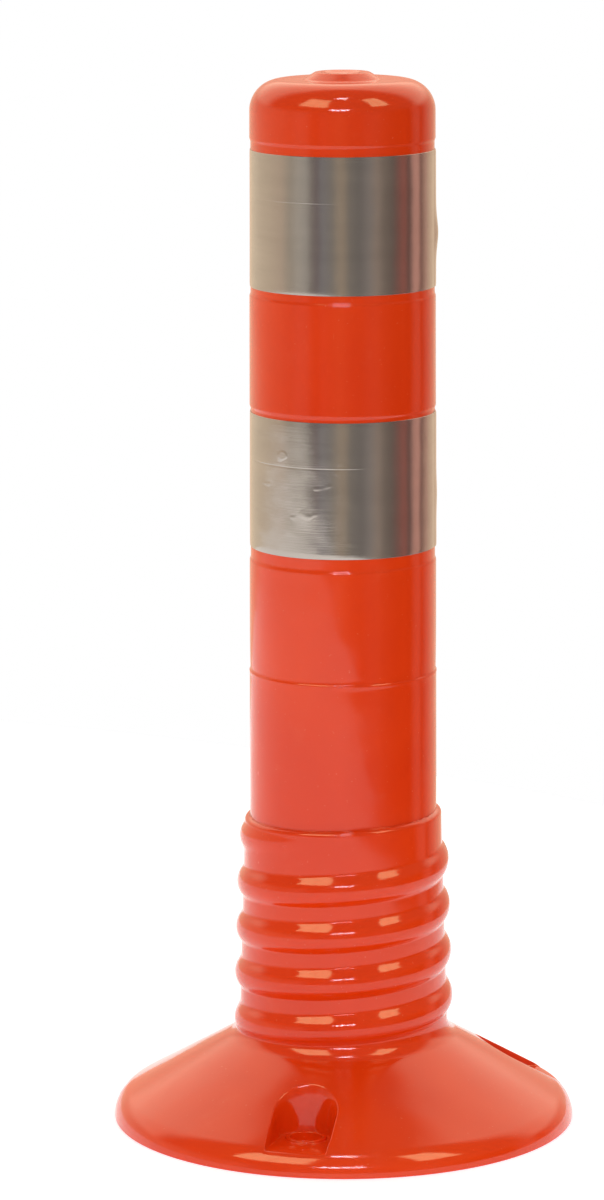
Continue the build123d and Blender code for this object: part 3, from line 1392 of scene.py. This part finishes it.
@dataclass(frozen=True)
class GlossyMoulding:
    """Glossy orange plastic as it leaves the mould, handled and a little dusty."""

    deep: Colour = (0.74, 0.040, 0.002)
    bright: Colour = (0.82, 0.055, 0.003)
    pale: Colour = (0.86, 0.22, 0.12)
    clouds: Pattern = Pattern(9, 3, 0.55, 0.6, levels=(0.32, 0.68))
    flow: Pattern = Pattern(26, levels=(0.35, 0.7), stretch=(1.0, 0.35))
    specks: Pattern = Pattern(900, 1, levels=(0.74, 0.80))
    dust: Pattern = Pattern(60, 4, 0.7, levels=(0.56, 0.8))
    scratches: Pattern = Pattern(320, 1, levels=(0.77, 0.83), stretch=(2.5, 0.25))
    handled: Pattern = Pattern(14, 1, levels=(0.5, 0.72))
    haze: Pattern = Pattern(40, 3, levels=(0.3, 0.8))
    waves: Pattern = Pattern(26, 1.5, 0.45)
    skin: Pattern = Pattern(420)
    cloud_share: float = 0.7
    speck_paleness: float = 0.35
    dust_paleness: float = 0.06
    scuff_paleness: float = 0.25
    roughness: float = 0.085
    haze_roughness: float = 0.07
    scuff_roughness: float = 0.25
    dust_roughness: float = 0.05
    wave_height: float = 0.9 * MM
    skin_height: float = 0.012 * MM
    seam_height: float = 0.18 * MM
    seam_width: float = 0.35 * MM
    seam_starts: Range = (40 * MM, 46 * MM)

    def make(self) -> bpy.types.Material:
        """Build the material.

        Returns:
            The material.
        """
        material, n = new_material("glossy_orange_moulding")
        at = n.place()
        shade = (self.clouds.on(n, at) * self.cloud_share
                 + self.flow.on(n, at) * (1 - self.cloud_share))
        scuffs = self.scratches.on(n, at) * self.handled.on(n, at)
        dust = self.dust.on(n, at)
        wear = (self.specks.on(n, at) * self.speck_paleness + dust * self.dust_paleness
                + scuffs * self.scuff_paleness)
        rough = (self.haze.on(n, at) * self.haze_roughness + self.roughness
                 + scuffs * self.scuff_roughness + dust * self.dust_roughness)
        _, across, height = n.parts(at)
        seam = n.math("EXPONENT", (across / self.seam_width) ** 2 * -1)
        relief = n.bump((self.waves.on(n, at), self.wave_height),
                        (self.skin.on(n, at), self.skin_height),
                        (seam * height.over(*self.seam_starts), self.seam_height))
        n.surface({"Base Color": n.mix(wear, n.mix(shade, self.deep, self.bright), self.pale),
                   "Roughness": rough, "IOR": 1.46, "Coat Weight": 0.12, "Coat Roughness": 0.03,
                   "Normal": relief})
        return material


@dataclass(frozen=True)
class MetallicFilm:
    """Retroreflective film: metallic grey with fine streaks round the post, and painted glints."""

    pale: Colour = (0.49, 0.46, 0.435)
    dark: Colour = (0.415, 0.39, 0.37)
    glint: Colour = (0.62, 0.60, 0.56)
    streaks: Pattern = Pattern(60, 4, 0.65, stretch=(0.6, 45.0))
    streak_levels: Range = (0.3, 0.7)
    broad: Pattern = Pattern(22, levels=(0.3, 0.7), stretch=(1.0, 5.0))
    # painted glints: small flecks where the film's base colour turns paler, standing in for
    # highlights
    glint_flecks: Pattern = Pattern(170, 1, levels=(0.70, 0.8), stretch=(3.0, 9.0))
    waves: Pattern = Pattern(38)
    dents: Pattern = Pattern(95, 1, levels=(0.68, 0.8), stretch=(1.0, 1.6))
    streak_share: float = 0.35
    broad_share: float = 0.35
    least_shade: float = 0.15
    glint_share: float = 0.35
    roughness: float = 0.095
    streak_roughness: float = 0.06
    wave_height: float = 0.35 * MM
    streak_height: float = 0.01 * MM
    dent_height: float = 0.04 * MM

    def make(self) -> bpy.types.Material:
        """Build the material.

        Returns:
            The material.
        """
        material, n = new_material("metallic_reflective_film")
        at = n.place()
        streaks = self.streaks.on(n, at)
        shade = (streaks.over(*self.streak_levels) * self.streak_share
                 + self.broad.on(n, at) * self.broad_share + self.least_shade)
        body = n.mix(shade, self.dark, self.pale)
        relief = n.bump((self.waves.on(n, at), self.wave_height),
                        (streaks, self.streak_height),
                        (self.dents.on(n, at), self.dent_height))
        # painted glints: paler flecks mixed into the base colour in place of real highlights
        glint_flecks = self.glint_flecks.on(n, at) * self.glint_share
        n.surface({"Base Color": n.mix(glint_flecks, body, self.glint), "Metallic": 0.85,
                   "Roughness": streaks * self.streak_roughness + self.roughness,
                   "Normal": relief})
        return material


# ---- the studio --------------------------------------------------------------------------------


@dataclass
class FillLight:
    """A large soft light that faces the post, and that the post doesn't mirror."""

    azimuth: float = 24
    elevation: float = 38
    distance: float = 3.0
    width: float = 3.0
    height: float = 2.4
    power: float = 12
    aim: float = 0.25
    colour: Colour = (1.0, 0.96, 0.90)

    def build(self) -> None:
        """Make the light and point it at the post."""
        data = bpy.data.lights.new("fill", "AREA")
        data.shape = "RECTANGLE"
        data.size, data.size_y = self.width, self.height
        data.energy = self.power
        data.color = self.colour
        light = bpy.data.objects.new("fill", data)
        a, e = math.radians(self.azimuth), math.radians(self.elevation)
        away = Vector((math.sin(a) * math.cos(e), -math.cos(a) * math.cos(e), math.sin(e)))
        light.location = Vector((0, 0, self.aim)) + away * self.distance
        light.rotation_euler = away.to_track_quat("Z", "Y").to_euler()
        light.visible_glossy = False
        bpy.context.scene.collection.objects.link(light)


@dataclass
class Room:
    """The room round the post, which shows only in reflections and as soft light.

    Directions are azimuths and elevations in degrees, 0 towards the camera, or the x, y and z
    of a direction of length 1.
    """

    walls: tuple[tuple[float, Colour], ...] = (
        (-180, (0.95, 0.52, 0.36)), (-160, (1.05, 0.80, 0.56)), (-140, (1.05, 0.86, 0.63)),
        (-105, (0.92, 0.74, 0.54)), (-82, (0.80, 0.62, 0.46)), (-68, (0.56, 0.48, 0.38)),
        (-57, (0.64, 0.58, 0.50)), (-47, (0.56, 0.52, 0.46)), (-39, (0.28, 0.24, 0.22)),
        (-32, (0.20, 0.15, 0.16)), (-25, (0.27, 0.26, 0.28)), (-13, (0.30, 0.27, 0.24)),
        (-5, (0.48, 0.38, 0.28)), (1, (0.46, 0.36, 0.26)), (9, (0.26, 0.23, 0.20)),
        (22, (0.20, 0.18, 0.17)), (34, (0.33, 0.29, 0.27)), (43, (0.42, 0.32, 0.26)),
        (52, (0.26, 0.20, 0.16)), (64, (0.17, 0.12, 0.10)), (73, (0.28, 0.09, 0.07)),
        (82, (0.44, 0.10, 0.07)), (91, (0.16, 0.06, 0.05)), (100, (0.85, 0.40, 0.32)),
        (108, (0.90, 0.42, 0.33)), (114, (0.30, 0.12, 0.09)), (126, (0.75, 0.42, 0.32)),
        (138, (0.95, 0.66, 0.46)), (160, (1.05, 0.80, 0.56)), (180, (0.95, 0.52, 0.36)))
    upper_front: Colour = (0.27, 0.23, 0.18)
    upper_back: Colour = (1.7, 1.42, 1.05)
    front_to_back: Range = (0.15, 0.45)
    upper_from: Range = (0.16, 0.36)
    ceiling: Colour = (0.30, 0.26, 0.20)
    ceiling_from: Range = (0.86, 0.95)
    ground: Colour = (0.26, 0.23, 0.20)
    ground_from: Range = (-0.30, -0.60)
    patch_edge: float = 0.6
    windows: tuple[tuple[Range, Range], ...] = (((-63, -20), (33, 61)), ((41, 67), (33, 61)))
    window_light: Colour = (5.6, 5.0, 2.7)
    window_bar: Range = (0.3, 0.9)
    tubes: tuple[tuple[Range, Range], ...] = (((-15, 10), (22.5, 26)), ((-12, 13), (68, 72)))
    tube_light: Colour = (48, 40, 46)
    tube_dashes: Range = (-0.5, -0.1)
    dash_turn: float = 1.05
    gap_across: Range = (0.039, 0.061)
    gap_along: Range = (-0.435, -0.295)
    gap_edges: tuple[float, float] = (0.003, 0.015)
    gap_from: Range = (0.5, 0.6)
    gap_light: Colour = (30, 26, 24)
    soft_share: float = 0.35

    def build(self) -> None:
        """Paint the room on the world."""
        world = bpy.data.worlds.new("studio_room")
        bpy.context.scene.world = world
        world.use_nodes = True
        n = NodeMaker(world.node_tree)
        x, y, z = n.parts(n.node("ShaderNodeTexCoord").outputs["Generated"])
        azimuth = n.math("ARCTAN2", x, y * -1) * math.degrees(1)
        elevation = n.math("ARCSINE", z) * math.degrees(1)
        stops = tuple((turn / 360 + 0.5, colour) for turn, colour in self.walls)
        room = n.node("ShaderNodeValToRGB", {"stops": stops},
                      {"Fac": azimuth / 360 + 0.5}).outputs["Color"]
        upper = n.mix(y.over(*self.front_to_back), self.upper_front, self.upper_back)
        room = n.mix(z.over(*self.upper_from), room, upper)
        room = n.mix(z.over(*self.ceiling_from), room, self.ceiling)
        room = n.mix(z.over(*self.ground_from), room, self.ground)

        path = n.node("ShaderNodeLightPath")
        shine = n.value(path, "Is Glossy Ray") * (1 - self.soft_share) + self.soft_share
        for sides, ends in self.windows:
            from_bar = n.math("ABSOLUTE", azimuth - sum(sides) / 2)
            pane = (azimuth.within(*sides, self.patch_edge)
                    * elevation.within(*ends, self.patch_edge)
                    * (from_bar.over(*self.window_bar) * 0.5 + 0.5))
            room = n.mix(pane * shine, room, self.window_light)
        dashes = n.math("SINE", azimuth * self.dash_turn).over(*self.tube_dashes)
        for sides, ends in self.tubes:
            tube = (azimuth.within(*sides, self.patch_edge)
                    * elevation.within(*ends, self.patch_edge) * dashes)
            room = n.mix(tube * shine, room, self.tube_light)
        thin, long = self.gap_edges
        gap = (x.within(*self.gap_across, thin) * y.within(*self.gap_along, long)
               * z.over(*self.gap_from))
        room = n.mix(gap * shine, room, self.gap_light)

        lit = n.node("ShaderNodeBackground", {}, {"Color": room})
        white = n.node("ShaderNodeBackground", {}, {"Color": (1.0, 1.0, 1.0)})
        both = n.node("ShaderNodeMixShader", {}, {0: path.outputs["Is Camera Ray"],
                                                  1: lit.outputs[0], 2: white.outputs[0]})
        n.node("ShaderNodeOutputWorld", {}, {"Surface": both.outputs[0]})


@dataclass
class Studio:
    """Camera, pale floor, fill light and the room round the post."""

    camera_place: tuple[float, float, float] = (0.0, -2.151, 0.628)
    pitch_down: float = 10.59
    turn_left: float = 0.464
    roll: float = -0.15
    lens: float = 154.4
    sensor: float = 36
    floor_radius: float = 1.1
    floor_place: tuple[float, float, float] = (-0.62, -0.2, 0.0)
    floor_colour: Colour = (0.80, 0.79, 0.78)
    floor_glow: Colour = (0.82, 0.92, 1.1)

    def build(self) -> None:
        """Make the whole studio."""
        self.camera()
        self.floor()
        Room().build()
        FillLight().build()
        view = bpy.context.scene.view_settings
        view.view_transform = "Standard"
        view.look = "None"

    def camera(self) -> None:
        """Make the camera."""
        data = bpy.data.cameras.new("camera")
        data.sensor_fit = "VERTICAL"
        data.sensor_height = self.sensor
        data.lens = self.lens
        data.clip_end = 50
        camera = bpy.data.objects.new("camera", data)
        camera.location = self.camera_place
        facing = Euler((math.radians(90 - self.pitch_down), 0, math.radians(self.turn_left)))
        rolled = facing.to_matrix() @ Euler((0, 0, math.radians(self.roll))).to_matrix()
        camera.rotation_euler = rolled.to_euler()
        bpy.context.scene.collection.objects.link(camera)
        bpy.context.scene.camera = camera

    def floor(self) -> None:
        """Make the pale floor, a wide disc that glows a little."""
        bm = bmesh.new()
        bmesh.ops.create_circle(bm, cap_ends=True, radius=self.floor_radius, segments=96,
                                matrix=Matrix.Translation(self.floor_place))
        mesh = bpy.data.meshes.new("floor")
        bm.to_mesh(mesh)
        bm.free()
        floor = bpy.data.objects.new("floor", mesh)
        material, n = new_material("pale_floor")
        n.surface({"Base Color": self.floor_colour, "Roughness": 0.6, "Specular IOR Level": 0.2,
                   "Emission Color": self.floor_glow, "Emission Strength": 0.6})
        mesh.materials.append(material)
        bpy.context.scene.collection.objects.link(floor)


# ---- the whole post ----------------------------------------------------------------------------


def main() -> None:
    """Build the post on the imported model's frame, dress it and set the studio."""
    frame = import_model()
    outline = PostOutline()
    finishes = {Finish.MOULDING: GlossyMoulding().make(), Finish.FILM: MetallicFilm().make()}

    def dress(piece: bpy.types.Object, finish: Finish, *nodes: str) -> None:
        """Give a piece its finish and slot, and let it stand for CAD nodes.

        Args:
            piece: The piece.
            finish: Its finish.
            nodes: The CAD nodes that it stands for.
        """
        piece.data.materials.append(finishes[finish])
        if nodes:
            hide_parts(*nodes)
        log.info("%s: %d faces", piece.name, len(piece.data.polygons))

    hinges = sorted(joint["pos_m"][2] for joint in frame["joints"])
    step = (hinges[-1] - hinges[0]) / (len(hinges) - 1)
    bodies = (["foot_body"] + [f"flex_link_{n:02d}" for n in range(1, len(hinges))]
              + ["post_body"])

    foot = Foot(outline, hinges[0] - step / 2).build()
    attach(foot, "foot_body")
    dress(foot, Finish.MOULDING, "foot")

    walls = FlexibleZone(outline, hinges, step).build()
    for number, (wall, hinge) in enumerate(zip(walls, hinges), 1):
        ends = [(bodies[number - 1], (0, 0, hinge - step / 2)),
                (bodies[number], (0, 0, hinge + step / 2))]
        if number <= LAST_BENT_FROM_ABOVE:
            ends.reverse()
        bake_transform(wall)
        slices = [f"flex_slice_{number:02d}"] if number < len(walls) else []
        dress(wall, Finish.MOULDING, *slices)

    tube = UpperTube(outline, hinges[-1] + step / 2).build()
    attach(tube, "post_body")
    dress(tube, Finish.MOULDING, "upper_tube")

    for place, curl in (("upper", 0.9 * MM), ("lower", 0.25 * MM)):
        node = f"reflective_band_{place}"
        low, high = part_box(node)
        band = ReflectiveBand(f"film_band_{place}", outline, low[2], high[2], curl=curl,
                              curl_height=high[2] - 35 * MM).build()
        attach(band, "post_body")
        dress(band, Finish.FILM, node)

    Studio().build()


if __name__ == "__main__":
    main()
